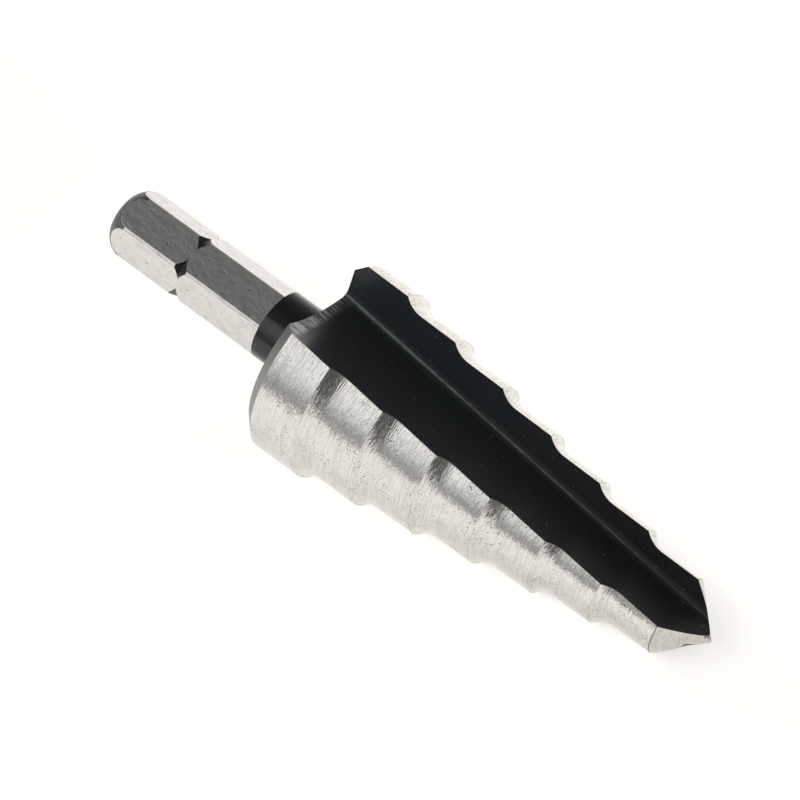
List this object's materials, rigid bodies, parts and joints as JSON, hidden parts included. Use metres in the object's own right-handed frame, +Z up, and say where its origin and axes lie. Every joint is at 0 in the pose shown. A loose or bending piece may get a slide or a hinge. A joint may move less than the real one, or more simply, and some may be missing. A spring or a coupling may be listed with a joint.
{
  "type": "step drill bit",
  "caption": "Stepped conical drill bit with straight V flutes, hollow-ground shoulders between steps, a cone point and a notched hex shank.",
  "frame": {"origin": "on the table, below the drill's axis and the middle of its length, as it lies on the edges of one flute", "axes": "+X along the drill from shank to point, +Z up from the table, +Y across the drill"},
  "size_m": [0.068, 0.0198, 0.0175],
  "materials": {
    "step_drill": "ground bright steel on the lands, black oxide in the flutes and on the neck, satin on the hex"
  },
  "bodies": {
    "root": {"step_drill": "step_drill"}
  },
  "joints": []
}
